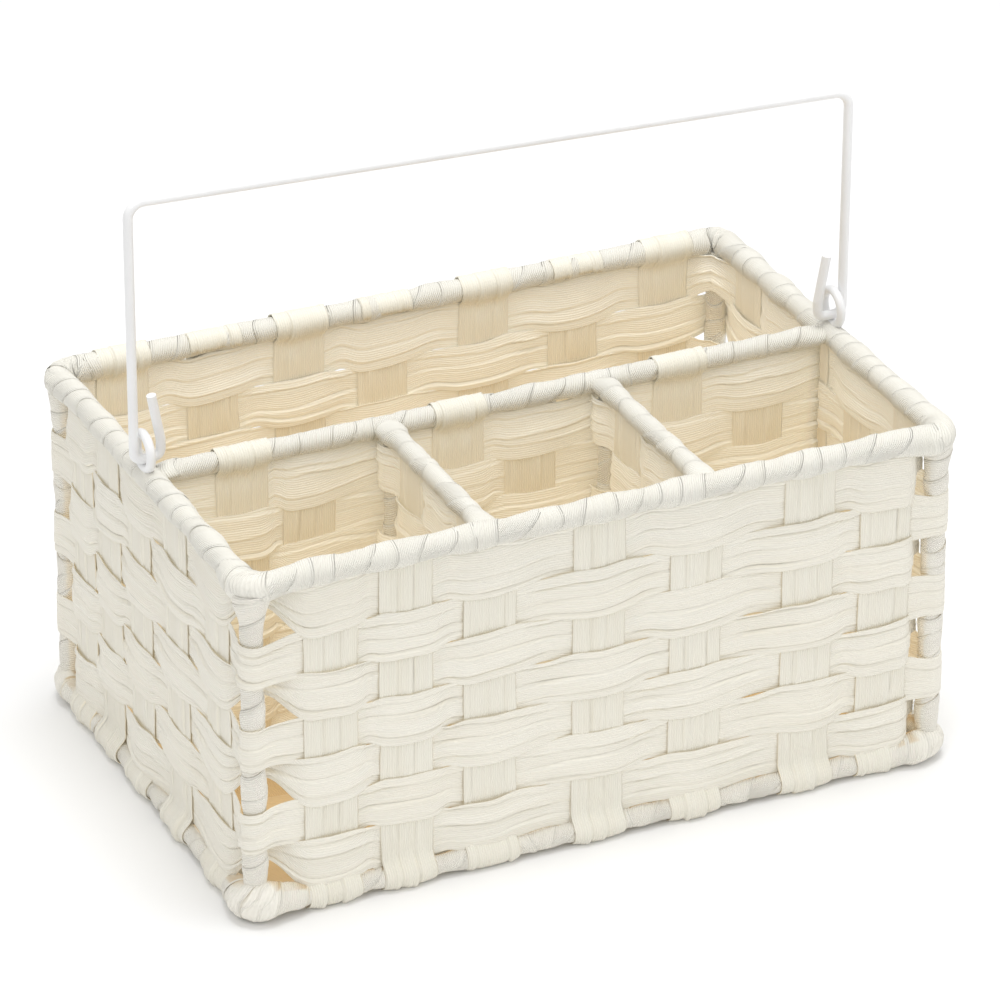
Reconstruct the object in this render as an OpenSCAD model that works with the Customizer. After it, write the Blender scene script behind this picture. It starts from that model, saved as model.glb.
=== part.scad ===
// Woven compartment caddy: flat tape woven on a wire frame, with a swinging wire bail.
// Length runs along X, the front wall faces -Y, and the feet of the stakes rest on z = 0.

/* [Frame] */

// Length between the centres of the end rim wires
basket_length = 320; // [300:5:360]

// Width between the centres of the front and rear rim wires
basket_width = 210; // [200:5:240]

// Height from the base wire to the rim wire, centre to centre
wall_height = 152; // [130:1:180]

// Bend radius of the loop corners, on the wire centre
corner_radius = 8; // [7:0.5:10]

// Diameter of the frame wire
wire_d = 4; // [3:0.25:4]

/* [Dividers] */

// Left cross divider, as a part of half the length
left_divider_at = -0.325; // [-0.36:0.005:-0.3]

// Right cross divider, as a part of half the length
right_divider_at = 0.305; // [0.29:0.005:0.33]

/* [Weave] */

// Width of the upright tapes
tape_width = 24; // [16:1:25]

// Thickness of the tape
tape_thickness = 0.8; // [0.5:0.1:0.9]

// Gap left between neighbouring rows
row_gap = 0.6; // [0.4:0.1:3]

// How far a weaver stands off the upright it passes
weave_offset = 1.3; // [1.2:0.1:1.5]

// Extra swell of a weaver at the middle of an upright
weave_swell = 0.8; // [0:0.1:1]

/* [Wraps] */

// Outer diameter of the tape wrapped on the rim and base
rim_wrap_d = 10; // [9:0.5:10.5]

// Outer diameter of the thicker wrapping at the corners
corner_wrap_d = 12; // [11:0.5:12]

// Outer diameter of the wrapping on the corner posts
post_wrap_d = 8; // [7:0.5:8]

// Outer diameter of the wrapping on the divider rails
rail_wrap_d = 9; // [8:0.5:9]

/* [Handle] */

// Diameter of the handle wire
handle_wire_d = 4.2; // [3.6:0.1:4.4]

// Height of the bar above the hinge line at the left end
left_rise = 117.4; // [112:0.2:125]

// Height of the bar above the hinge line at the right end
right_rise = 105.4; // [103:0.2:125]

// Bend radius where the bar turns down into the legs
bar_bend_radius = 7; // [5:0.5:12]

// Bend radius of the hooks
hook_bend_radius = 3.6; // [3.2:0.1:3.9]

// Length of the free end of each hook above the hinge line
hook_tip = 29; // [20:1:34]

// Lean of the free end towards its leg, in degrees
hook_lean = 10; // [0:1:12]

// Radius of the eye rings, on the wire centre
eye_radius = 7.8; // [7.6:0.1:8.4]

/* [Hidden] */

$fn = 48;

// Colours of the steel and the tape
steel = [0.93, 0.93, 0.92];
ivory = [0.93, 0.9, 0.82];
cream = [0.96, 0.94, 0.88];

// Half sizes and the heights of the two wire loops
hl = basket_length / 2;
hw = basket_width / 2;
base_z = corner_wrap_d / 2;
rim_z = base_z + wall_height;

// Clearances: round a wire, between wraps, and where a rail meets the rim
gap = 0.05;
wrap_gap = 0.1;
rail_gap = 0.2;
past = 1;

// Inset of a corner post, the bore of a wrap and the port where another wire enters it
post_in = corner_radius * (1 - cos(45));
wrap_bore = wire_d + 2 * gap;
port_d = wire_d + 0.6;
port_depth = 8;
rim_corner_d = corner_wrap_d - 0.5;

// Uprights, spaced by hand, as parts of half the wall
front_at = [-0.775, -0.5625, -0.325, -0.0125, 0.27, 0.6, 0.83] * hl;
rear_at = [-0.81, -0.545, -0.2875, -0.0375, 0.27, 0.545, 0.825] * hl;
side_at = [-0.686, -0.267, 0.114, 0.438, 0.724] * hw;
long_at = [-0.7375, -0.545, -0.1125, 0.1, 0.5375, 0.7875] * hl;
cross_at = [-0.8, -0.53, -0.26] * hw;

// Divider positions
left_x = left_divider_at * hl;
right_x = right_divider_at * hl;
divider_post_y = -7.4;
divider_post_wrap_d = 7.5;

// Rows of weaver tape from the base to the rim
weaver_rows = 7;
row_clear = rim_wrap_d / 2 + 1.8;
row_low = base_z + row_clear;
row_pitch = (wall_height - 2 * row_clear) / weaver_rows;
row_width = row_pitch - row_gap;

// Woven floor, resting on the floor wires
floor_reach = weave_offset + tape_thickness / 2;
floor_z = base_z + wire_d / 2 + 0.15 + floor_reach;
floor_top = floor_z + floor_reach;
floor_rows = 9;
floor_inset = rim_wrap_d / 2 - 0.2;
floor_pitch = (basket_width - 2 * floor_inset) / floor_rows;
floor_gap = 1;

// Hinge line, eyes and handle, with the notch in the rim wrap that clears the eye's wire
eye_x = hl + 1.5;
eye_z = rim_z + wire_d / 2 + 0.2 + eye_radius + 2;
eye_wire_d = 4;
eye_notch = [eye_wire_d + 0.6, 14.4, 11];
eye_notch_up = 6;
hinge_z = eye_z - eye_radius + eye_wire_d / 2 + handle_wire_d / 2 + 0.25;
leg_x = eye_x + eye_wire_d / 2 + 0.4 + handle_wire_d / 2;
inner_x = leg_x - 2 * hook_bend_radius - 4.8;
tip_rise = hook_bend_radius + 4;
bead_d = handle_wire_d + 0.06;
left_bend_z = hinge_z + left_rise - bar_bend_radius;
right_bend_z = hinge_z + right_rise - bar_bend_radius;
bend_x = leg_x - bar_bend_radius;
bar_slope = atan2(left_bend_z - right_bend_z, 2 * bend_x);
bar_length = norm([2 * bend_x, left_bend_z - right_bend_z]);

// Outline of a thin tape that follows a line of points
function unit(v) = v / norm(v);
function rev(a) = [for (i = [len(a) - 1 : -1 : 0]) a[i]];
function ends(p, i) = i == 0 || i == len(p) - 1;
function way(p, i) = i == len(p) - 1 ? unit(p[i] - p[i - 1]) : unit(p[i + 1] - p[i]);
function mean_way(p, i) = ends(p, i) ? way(p, i) : unit(way(p, i) + unit(p[i] - p[i - 1]));
function side(p, d) = [
    for (i = [0 : len(p) - 1])
        let (t = mean_way(p, i), k = ends(p, i) ? 1 : t * way(p, i))
            p[i] + d / k * [-t[1], t[0]]
];
function tape(p) = concat(side(p, tape_thickness / 2), rev(side(p, -tape_thickness / 2)));

// Weaver line past the uprights at the listed places, starting on side g
function wave(at, g, w, swell) = [
    for (i = [0 : len(at) - 1])
        let (s = i % 2 == 0 ? g : -g, a = weave_offset)
            each [[at[i] - w / 2, s * a], [at[i], s * (a + swell)], [at[i] + w / 2, s * a]]
];

// Turn of a weaver round a corner post: round the outside, or across the inside
post_turn = post_wrap_d / 2 + 0.9;
in_turn = post_in + post_wrap_d / 2 - 0.2;
in_leg = 2.4;
in_step = 0.7;
function turn_out(h) = [
    for (a = [225 : -30 : 45]) [-h + post_in, -post_in] + post_turn * [cos(a), sin(a)]
];
function turn_in(h) = [
    [-h + in_turn, -in_turn - in_leg],
    [-h + in_turn + in_step, -in_turn - in_step],
    [-h + in_turn + in_leg, -in_turn]
];

// One wall of a weaver row, along the wall and out of it
function wall_line(at, h, g) =
    concat(g > 0 ? turn_in(h) : turn_out(h), wave(at, g, tape_width, weave_swell));

// The same line placed on the front, right, rear or left wall
function on_front(p) = [for (q = p) [q[0], -hw - q[1]]];
function on_right(p) = [for (q = p) [hl + q[1], q[0]]];
function on_rear(p) = [for (q = p) [-q[0], hw + q[1]]];
function on_left(p) = [for (q = p) [-hl - q[1], -q[0]]];

// A whole row, with its ends meeting behind the front right corner
row_seam = 0.5;
function row_line(g) =
    let (f = wall_line(front_at, hl, g), r = wall_line(side_at, hw, g))
    let (b = wall_line(-rev(rear_at), hl, g), l = wall_line(-rev(side_at), hw, g))
    let (all = concat(on_right(r), on_rear(b), on_left(l), on_front(f)))
    let (a = all[0], z = all[len(all) - 1])
        concat(all, [a + row_seam * unit(z - a)]);

// Upright line: out of the wall and up. fold: 1 over the rim from outside, -1 from inside
fold_step = 25;
fold_room = 0.8;
function top_fold(fold, r, z) = fold == 0 ? [[0, z - r - fold_room]] : concat(
    [[0, z - r - fold_room]],
    [for (a = [-50 : fold_step : 200]) [fold * r * cos(a), z + r * sin(a)]]
);
foot_r = base_z - tape_thickness / 2;
foot_tail = 3;
foot_flat = foot_r * 0.32;
foot_line = concat(
    [[-foot_tail, tape_thickness / 2], [foot_flat, tape_thickness / 2]],
    [for (a = [-62 : 22.4 : 50]) [foot_r * cos(a), base_z + foot_r * sin(a)]],
    [[0, base_z + foot_r + fold_room]]
);

// Radius of a fold whose flats stay clear of a round wrap of diameter d
function fold_r(d) = (d / 2 + wrap_gap / 2) / cos(fold_step / 2) + tape_thickness / 2;
rim_fold_r = fold_r(rim_wrap_d);
rail_fold_r = fold_r(rail_wrap_d);
foot_rise = 0.4;
function stake_line(fold) = concat(foot_line, top_fold(fold, rim_fold_r, rim_z));
function divider_line(fold) =
    concat([[0, floor_top + foot_rise]], top_fold(fold, rail_fold_r, rim_z));

// Round bar along X, Y or Z from a to b
module bar_x(d, a, b, y, z) {
    translate([a, y, z])
        rotate([0, 90, 0])
            cylinder(d = d, h = b - a);
}

module bar_y(d, a, b, x, z) {
    translate([x, b, z])
        rotate([90, 0, 0])
            cylinder(d = d, h = b - a);
}

module bar_z(d, a, b, x, y) {
    translate([x, y, a])
        cylinder(d = d, h = b - a);
}

// Four corner bends of a wire loop
module bends(d, z) {
    for (c = [[1, 1, 0], [-1, 1, 90], [-1, -1, 180], [1, -1, 270]])
        translate([c[0] * (hl - corner_radius), c[1] * (hw - corner_radius), z])
            rotate([0, 0, c[2]])
                rotate_extrude(angle = 90)
                    translate([corner_radius, 0])
                        circle(d = d);
}

// Four straight sides of a wire loop, cut short at the corners by e
module sides(d, z, e) {
    for (s = [-1, 1]) {
        bar_x(d, -hl + corner_radius + e, hl - corner_radius - e, s * hw, z);
        bar_y(d, -hw + corner_radius + e, hw - corner_radius - e, s * hl, z);
    }
}

module wire_loop(z) {
    sides(wire_d, z, 0);
    bends(wire_d, z);
}

module posts(d, a, b) {
    for (sx = [-1, 1])
        for (sy = [-1, 1])
            bar_z(d, a, b, sx * (hl - post_in), sy * (hw - post_in));
}

module rails(d, e) {
    bar_x(d, -hl + e, hl - e, 0, rim_z);
}

module cross_bars(d, z, a, b) {
    bar_y(d, a, b, left_x, z);
    bar_y(d, a, b, right_x, z);
}

// Wire frame
module rim_wire() {
    color(steel)
        wire_loop(rim_z);
}

module base_wire() {
    color(steel)
        wire_loop(base_z);
}

module corner_posts() {
    color(steel)
        posts(wire_d, base_z + wire_d / 2 + gap, rim_z - wire_d / 2 - gap);
}

module long_rail() {
    color(steel)
        rails(wire_d, wire_d / 2 + gap);
}

module cross_rails() {
    color(steel)
        cross_bars(wire_d, rim_z, -hw + wire_d / 2 + gap, -wire_d / 2 - gap);
}

module divider_posts() {
    color(steel) {
        bar_z(wire_d, floor_top + rail_gap, rim_z - wire_d / 2 - gap, left_x, divider_post_y);
        bar_z(wire_d, floor_top + rail_gap, rim_z - wire_d / 2 - gap, right_x, divider_post_y);
    }
}

module long_floor_wire() {
    color(steel)
        bar_x(wire_d, -hl + wire_d / 2 + gap, hl - wire_d / 2 - gap, 0, base_z);
}

module cross_floor_wires() {
    color(steel)
        cross_bars(wire_d, base_z, -hw + wire_d / 2 + gap, -wire_d / 2 - gap);
}

// Wrapping, bored for the wires it covers
module rim_wrap() {
    color(cream)
        difference() {
            sides(rim_wrap_d, rim_z, wrap_gap);
            sides(wrap_bore, rim_z, -past);
            rails(port_d, 0);
            cross_bars(port_d, rim_z, -hw, 0);
            for (s = [-1, 1])
                translate([s * eye_x, 0, rim_z + eye_notch_up])
                    cube(eye_notch, center = true);
        }
}

module rim_corner_wraps() {
    color(cream)
        difference() {
            bends(rim_corner_d, rim_z);
            bends(wrap_bore, rim_z);
            posts(port_d, rim_z - port_depth, rim_z - past);
        }
}

module base_wrap() {
    color(cream)
        difference() {
            sides(rim_wrap_d, base_z, wrap_gap);
            sides(wrap_bore, base_z, -past);
            bar_x(port_d, -hl, hl, 0, base_z);
            cross_bars(port_d, base_z, -hw, 0);
        }
}

module base_corner_wraps() {
    color(cream)
        difference() {
            bends(corner_wrap_d, base_z);
            bends(wrap_bore, base_z);
            posts(port_d, base_z, base_z + port_depth);
        }
}

module corner_post_wraps() {
    color(cream)
        difference() {
            posts(post_wrap_d, base_z + corner_wrap_d / 2 + wrap_gap, rim_z - rim_corner_d / 2 - wrap_gap);
            posts(wrap_bore, base_z, rim_z);
        }
}

module long_rail_wrap() {
    color(cream)
        difference() {
            rails(rail_wrap_d, rim_wrap_d / 2 + rail_gap);
            rails(wrap_bore, 0);
            cross_bars(port_d, rim_z, -hw, 0);
        }
}

module cross_rail_wraps() {
    color(cream)
        difference() {
            cross_bars(
                rail_wrap_d, rim_z, -hw + rim_wrap_d / 2 + rail_gap, -rail_wrap_d / 2 - rail_gap
            );
            cross_bars(wrap_bore, rim_z, -hw, 0);
            bar_z(port_d, rim_z - port_depth, rim_z, left_x, divider_post_y);
            bar_z(port_d, rim_z - port_depth, rim_z, right_x, divider_post_y);
        }
}

module divider_post_wraps() {
    top = rim_z - rail_wrap_d / 2 - rail_gap;
    color(cream)
        for (x = [left_x, right_x])
            difference() {
                bar_z(divider_post_wrap_d, floor_top + rail_gap, top, x, divider_post_y);
                bar_z(wrap_bore, 0, rim_z, x, divider_post_y);
            }
}

// Uprights: a line drawn out of the wall and up, given the width of the tape
module upright(line, w) {
    translate([0, w / 2, 0])
        rotate([90, 0, 0])
            linear_extrude(height = w)
                polygon(tape(line));
}

// A set of wall uprights. clear lists the places where no fold may cross the rim
fold_side = 0.5;
module wall_stakes(at, h, turn, clear, room) {
    rotate([0, 0, turn])
        for (i = [0 : len(at) - 1]) {
            near = min([for (c = clear) abs(at[i] - c)]);
            fold = near < tape_width / 2 + room ? 0 : i % 2 == 0 ? -1 : 1;
            translate([h, at[i], 0])
                upright(stake_line(fold), tape_width);
        }
}

module front_stakes() {
    color(ivory)
        wall_stakes(front_at, hw, -90, [left_x, right_x], rail_wrap_d / 2 + fold_side);
}

module rear_stakes() {
    color(ivory)
        wall_stakes(-rev(rear_at), hw, 90, [basket_length], fold_side);
}

module left_stakes() {
    color(ivory)
        wall_stakes(-rev(side_at), hl, 180, [0], eye_radius + eye_wire_d / 2 + fold_side);
}

module right_stakes() {
    color(ivory)
        wall_stakes(side_at, hl, 0, [0], eye_radius + eye_wire_d / 2 + fold_side);
}

// Row k of a weave, counted from the rim, along the line for odd or even rows
module row(k, line_odd, line_even) {
    translate([0, 0, row_low + (weaver_rows - k) * row_pitch + row_gap / 2])
        linear_extrude(height = row_width)
            polygon(tape(k % 2 == 1 ? line_odd : line_even));
}

module all_rows(line_odd, line_even) {
    for (k = [1 : weaver_rows])
        row(k, line_odd, line_even);
}

// One row of weaver round the whole basket
module weaver_row(k) {
    color(ivory)
        row(k, row_line(1), row_line(-1));
}

// Long divider
long_end = hl - 4.5;
function long_line(g) = on_mid(concat(
    [[-long_end, 0]], wave(long_at, g, tape_width, weave_swell), [[long_end, 0]]
));
function on_mid(p) = [for (q = p) [q[0], -q[1]]];

module long_divider_stakes() {
    color(ivory)
        for (i = [0 : len(long_at) - 1])
            translate([long_at[i], 0, 0])
                rotate([0, 0, -90])
                    upright(divider_line(i % 2 == 0 ? 1 : -1), tape_width);
}

module long_divider_weavers() {
    color(ivory)
        all_rows(long_line(-1), long_line(1));
}

// Cross dividers, whose weavers turn round the divider post and stop short of the long divider
divider_turn = divider_post_wrap_d / 2 + 0.65;
cross_start = -hw + 3.8;
cross_stop = -3.6;
function post_arc(g, a) =
    [divider_post_y + divider_turn * cos(a), -g * divider_turn * sin(a)];
function cross_line(g) = concat(
    [[cross_start, 0]],
    wave(cross_at, g, tape_width, weave_swell),
    [for (a = [160, 135, 110, 90]) post_arc(g, a)],
    [[cross_stop, -g * divider_turn]]
);
function on_cross(p, x) = [for (q = p) [x - q[1], q[0]]];

module cross_divider_stakes(x) {
    for (i = [0 : len(cross_at) - 1])
        translate([x, cross_at[i], 0])
            rotate([0, 0, 180])
                upright(divider_line(i % 2 == 0 ? 1 : -1), tape_width);
}

module left_divider_stakes() {
    color(ivory)
        cross_divider_stakes(left_x);
}

module left_divider_weavers() {
    color(ivory)
        all_rows(on_cross(cross_line(-1), left_x), on_cross(cross_line(1), left_x));
}

module right_divider_stakes() {
    color(ivory)
        cross_divider_stakes(right_x);
}

module right_divider_weavers() {
    color(ivory)
        all_rows(on_cross(cross_line(-1), right_x), on_cross(cross_line(1), right_x));
}

// Woven floor
module floor_cross_tapes() {
    color(ivory)
        for (x = front_at)
            translate([x, 0, floor_z])
                cube([tape_width, basket_width - 2 * floor_inset, tape_thickness], center = true);
}

module floor_long_tapes() {
    color(ivory)
        for (j = [0 : floor_rows - 1]) {
            g = j % 2 == 0 ? 1 : -1;
            outer = j == 0 || j == floor_rows - 1;
            e = outer ? hl - corner_radius - row_gap : hl - floor_inset;
            line = concat([[-e, 0]], wave(front_at, g, tape_width, 0), [[e, 0]]);
            translate([0, -hw + floor_inset + (j + 1) * floor_pitch - floor_gap / 2, floor_z])
                rotate([90, 0, 0])
                    linear_extrude(height = floor_pitch - floor_gap)
                        polygon(tape(line));
        }
}

// Eye rings that carry the handle
module eye(x) {
    color(steel)
        translate([x, 0, eye_z])
            rotate([0, 90, 0])
                rotate_extrude()
                    translate([eye_radius, 0])
                        circle(d = eye_wire_d);
}

// Bend in the plane of the handle, about x, z, from angle a to b
module bend(x, z, r, a, b) {
    translate([x, 0, z])
        rotate([90, 0, 0])
            rotate([0, 0, a])
                rotate_extrude(angle = b - a)
                    translate([r, 0])
                        circle(d = handle_wire_d);
}

// Bead of weld that closes the wire where two lengths meet
module bead(x, z) {
    translate([x, 0, z])
        sphere(d = bead_d);
}

// Leg, hook and free end on the right side, with the bend that starts the bar
module leg_and_hook(top, slope) {
    r = hook_bend_radius;
    tip_z = hinge_z + tip_rise;
    bend(bend_x, top, bar_bend_radius, 0, 90 - slope);
    bar_z(handle_wire_d, hinge_z + r, top, leg_x, 0);
    bend(leg_x - r, hinge_z + r, r, 270, 360);
    bar_x(handle_wire_d, inner_x + r, leg_x - r, 0, hinge_z);
    bend(inner_x + r, hinge_z + r, r, 180, 270);
    bar_z(handle_wire_d, hinge_z + r, tip_z, inner_x, 0);
    bead(inner_x, tip_z);
    translate([inner_x, 0, tip_z])
        rotate([0, hook_lean, 0])
            translate([0, 0, gap])
                cylinder(d = handle_wire_d, h = hook_tip - tip_rise - gap);
}

module bail_handle() {
    bar_dx = bar_bend_radius * sin(bar_slope);
    bar_dz = bar_bend_radius * cos(bar_slope);
    color(steel) {
        leg_and_hook(right_bend_z, bar_slope);
        mirror([1, 0, 0])
            leg_and_hook(left_bend_z, -bar_slope);
        bead(bar_dx - bend_x, left_bend_z + bar_dz);
        bead(bar_dx + bend_x, right_bend_z + bar_dz);
        translate([-bend_x, 0, left_bend_z])
            rotate([0, bar_slope, 0])
                bar_x(handle_wire_d, gap, bar_length - gap, 0, bar_bend_radius);
    }
}

rim_wire();
base_wire();
corner_posts();
long_rail();
cross_rails();
divider_posts();
long_floor_wire();
cross_floor_wires();
rim_wrap();
rim_corner_wraps();
base_wrap();
base_corner_wraps();
corner_post_wraps();
long_rail_wrap();
cross_rail_wraps();
divider_post_wraps();
front_stakes();
rear_stakes();
left_stakes();
right_stakes();
weaver_row(1);  // weaver_row_1
weaver_row(2);  // weaver_row_2
weaver_row(3);  // weaver_row_3
weaver_row(4);  // weaver_row_4
weaver_row(5);  // weaver_row_5
weaver_row(6);  // weaver_row_6
weaver_row(7);  // weaver_row_7
long_divider_stakes();
long_divider_weavers();
left_divider_stakes();
left_divider_weavers();
right_divider_stakes();
right_divider_weavers();
floor_cross_tapes();
floor_long_tapes();
eye(-eye_x);  // left_eye
eye(eye_x);  // right_eye
bail_handle();
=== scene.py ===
"""Woven cleaning caddy: tape woven on a wire frame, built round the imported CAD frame."""
import math

import bmesh
import bpy
import numpy as np
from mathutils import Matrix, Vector


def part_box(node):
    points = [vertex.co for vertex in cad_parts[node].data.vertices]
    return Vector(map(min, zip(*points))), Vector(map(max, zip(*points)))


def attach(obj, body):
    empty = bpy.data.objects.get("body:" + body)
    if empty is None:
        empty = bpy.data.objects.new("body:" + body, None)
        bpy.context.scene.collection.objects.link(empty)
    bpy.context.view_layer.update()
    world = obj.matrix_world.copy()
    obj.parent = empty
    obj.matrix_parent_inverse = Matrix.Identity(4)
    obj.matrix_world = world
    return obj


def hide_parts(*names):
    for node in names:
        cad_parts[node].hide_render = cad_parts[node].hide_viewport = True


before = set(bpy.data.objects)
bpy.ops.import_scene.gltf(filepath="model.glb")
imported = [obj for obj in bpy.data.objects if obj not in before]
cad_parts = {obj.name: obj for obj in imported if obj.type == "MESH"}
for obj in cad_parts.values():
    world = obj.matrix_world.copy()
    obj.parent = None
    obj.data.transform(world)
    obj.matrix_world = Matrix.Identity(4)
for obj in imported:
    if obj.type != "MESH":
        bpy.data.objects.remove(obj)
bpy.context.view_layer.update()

MM = 0.001
ROWS = 7
STEP = 2.5              # distance between stations along a tape, mm
TAPE_T = 0.5            # thickness of a tape, mm
WRAP_T = 0.3            # thickness of the wrapping tape, mm
SHEET_COLUMNS = 52      # samples across a woven tape
STAKE_COLUMNS = 36      # samples across an upright
WRAP_COLUMNS = 10       # samples across the wrapping tape
WRAP_SEGMENTS = 22      # stations in one turn of wrapping


# ---------------------------------------------------------------- the frame, in millimetres

def box_mm(node):
    """Lowest and highest corner of a CAD node."""
    low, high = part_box(node)
    return np.array(low) / MM, np.array(high) / MM


def solids(node):
    """Centre and size of each separate solid in a CAD node, in no set order."""
    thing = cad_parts[node]
    shape = bmesh.new()
    shape.from_mesh(thing.data)
    bmesh.ops.remove_doubles(shape, verts=shape.verts, dist=1e-6)
    left = set(shape.verts)
    found = []
    while left:
        stack = [left.pop()]
        points = []
        while stack:
            vertex = stack.pop()
            points.append(thing.matrix_world @ vertex.co)
            for edge in vertex.link_edges:
                other = edge.other_vert(vertex)
                if other in left:
                    left.discard(other)
                    stack.append(other)
        points = np.array(points) / MM
        low, high = points.min(axis=0), points.max(axis=0)
        found.append(((low + high) / 2, high - low))
    shape.free()
    return found


rim_low, rim_high = box_mm("rim_wire")
base_low, base_high = box_mm("base_wire")
WIRE_D = rim_high[2] - rim_low[2]
HL = (rim_high[0] - rim_low[0] - WIRE_D) / 2
HW = (rim_high[1] - rim_low[1] - WIRE_D) / 2
RIM_Z = (rim_low[2] + rim_high[2]) / 2
BASE_Z = (base_low[2] + base_high[2]) / 2
POSTS = sorted(solids("corner_posts"), key=lambda s: math.atan2(s[0][1], s[0][0]))
POST_IN = HL - max(centre[0] for centre, size in POSTS)
CORNER_R = POST_IN / (1 - math.cos(math.radians(45)))
ROW_BOXES = [box_mm("weaver_row_%d" % (k + 1)) for k in range(ROWS)]
ROW_Z = [(low[2] + high[2]) / 2 for low, high in ROW_BOXES]
HALF_PITCH = (ROW_Z[0] - ROW_Z[1]) / 2
RIM_WRAP_R = (box_mm("rim_wrap")[1][2] - box_mm("rim_wrap")[0][2]) / 2
RAIL_WRAP_R = (box_mm("long_rail_wrap")[1][2] - box_mm("long_rail_wrap")[0][2]) / 2
POST_WRAP_R = max(size[0] for centre, size in solids("corner_post_wraps")) / 2
DIVIDER_POSTS = sorted(solids("divider_post_wraps"), key=lambda s: s[0][0])
DIVIDER_WRAP_R = DIVIDER_POSTS[0][1][0] / 2
DIVIDER_Y = DIVIDER_POSTS[0][0][1]
LEFT_X = DIVIDER_POSTS[0][0][0]
RIGHT_X = DIVIDER_POSTS[1][0][0]
HANDLE_LOW = box_mm("bail_handle")[0][2]
FLOOR_TOP = box_mm("floor_long_tapes")[1][2]
FLOOR_Z = (box_mm("floor_long_tapes")[0][2] + FLOOR_TOP) / 2

# Planes of weave: a point of the plane, the way along it and the way out of it
PLANES = {
    "front": ((0, -HW), (1, 0), (0, -1)),
    "right": ((HL, 0), (0, 1), (1, 0)),
    "rear": ((0, HW), (-1, 0), (0, 1)),
    "left": ((-HL, 0), (0, -1), (-1, 0)),
    "long": ((0, 0), (1, 0), (0, -1)),
    "left_cross": ((LEFT_X, 0), (0, 1), (-1, 0)),
    "right_cross": ((RIGHT_X, 0), (0, 1), (-1, 0)),
}


def on_plane(plane, along, out):
    """Plan position of a place on a plane of weave."""
    origin, way, outward = PLANES[plane]
    return (origin[0] + way[0] * along + outward[0] * out,
            origin[1] + way[1] * along + outward[1] * out)


def uprights(plane, node):
    """Places of a node's uprights along its plane, in order, with width and height."""
    origin, way, outward = PLANES[plane]
    found = []
    for centre, size in solids(node):
        place = way[0] * (centre[0] - origin[0]) + way[1] * (centre[1] - origin[1])
        width = abs(way[0]) * size[0] + abs(way[1]) * size[1]
        found.append((place, width, centre[2] + size[2] / 2))
    return sorted(found)


STAKES = {wall: uprights(wall, wall + "_stakes") for wall in ("front", "right", "rear", "left")}
STAKES["long"] = uprights("long", "long_divider_stakes")
STAKES["left_cross"] = uprights("left_cross", "left_divider_stakes")
STAKES["right_cross"] = uprights("right_cross", "right_divider_stakes")


# ---------------------------------------------------------------- curves and noise

class Wobble:
    """A smooth seeded curve, about one unit high, made of a few sines."""

    def __init__(self, rng, wavelength):
        self.rate = 2 * math.pi / (wavelength * rng.uniform(0.6, 1.7, 4))
        self.phase = rng.uniform(0, 2 * math.pi, 4)

    def __call__(self, u):
        return 1.6 * np.sin(np.multiply.outer(u, self.rate) + self.phase).mean(-1)


def smooth(points, step, loop=False):
    """A smooth curve through rows of values, whose first two columns are a place."""
    p = np.array(points, float)
    if loop:
        p = np.vstack([p, p[:1]])
    h = np.linalg.norm(np.diff(p[:, :2], axis=0), axis=1)
    slope = np.diff(p, axis=0) / h[:, None]
    if loop:
        back, h_back = np.roll(slope, 1, axis=0), np.roll(h, 1)
        tangent = (h_back[:, None] * slope + h[:, None] * back) / (h + h_back)[:, None]
        tangent = np.vstack([tangent, tangent[:1]])
    else:
        inner = h[:-1, None] * slope[1:] + h[1:, None] * slope[:-1]
        inner = inner / (h[:-1] + h[1:])[:, None]
        tangent = np.vstack([slope[:1], inner, slope[-1:]])
    s = np.concatenate([[0], np.cumsum(h)])
    q = np.linspace(0, s[-1], int(round(s[-1] / step)) + 1)
    if loop:
        q = q[:-1]
    i = np.clip(np.searchsorted(s, q, side="right") - 1, 0, len(h) - 1)
    t = ((q - s[i]) / h[i])[:, None]
    size = h[i][:, None]
    start = (2 * t ** 3 - 3 * t ** 2 + 1) * p[i] + (t ** 3 - 2 * t ** 2 + t) * size * tangent[i]
    end = (3 * t ** 2 - 2 * t ** 3) * p[i + 1] + (t ** 3 - t ** 2) * size * tangent[i + 1]
    return start + end


def lengths(points):
    """Length along a line of points, at each point."""
    steps = np.linalg.norm(np.diff(points, axis=0), axis=1)
    return np.concatenate([[0], np.cumsum(steps)])


def unit(v):
    """Vectors scaled to a length of one."""
    return v / np.linalg.norm(v, axis=-1, keepdims=True)


# A fold across a tape, with places and widths in units of its sigma
RIDGE_AT = 1.7
RIDGE_WIDTH = 1.1
RIDGE_HEIGHT = 0.55
SLOPE_AT = 4.2
SLOPE_WIDTH = 3.4
SLOPE_HEIGHT = 0.5
VALLEY_DEPTH = 0.55


def pleats(u, v, width, rng, count, depth, sigma, drift_length=190, drift_by=0.07, least=0.2):
    """Lengthwise folds in a tape: a thin valley with a ridge and a long slope beside it.

    Each of the count folds is about depth deep and wanders across the tape by drift_by of its
    width. least is the weakest part of its depth that a fold falls to along its length."""
    field = np.zeros((len(u), len(v)))
    for i in range(count):
        home = (i + rng.uniform(0.3, 0.8)) / count
        drift = Wobble(rng, drift_length)
        strength = Wobble(rng, 75)
        side = 1 if rng.random() < 0.7 else -1
        deep = rng.uniform(0.75, 1.2) * depth
        line = home + drift_by * drift(u)
        amount = deep * np.clip(0.7 + 0.5 * strength(u), least, 1.1)
        x = side * (v[None, :] - line[:, None]) * width[:, None] / sigma
        ridge = RIDGE_HEIGHT * np.exp(-((x - RIDGE_AT) / RIDGE_WIDTH) ** 2)
        slope = SLOPE_HEIGHT * np.exp(-((x - SLOPE_AT) / SLOPE_WIDTH) ** 2)
        valley = VALLEY_DEPTH * np.exp(-x * x)
        field += amount[:, None] * (ridge + slope - valley)
    return field


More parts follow.
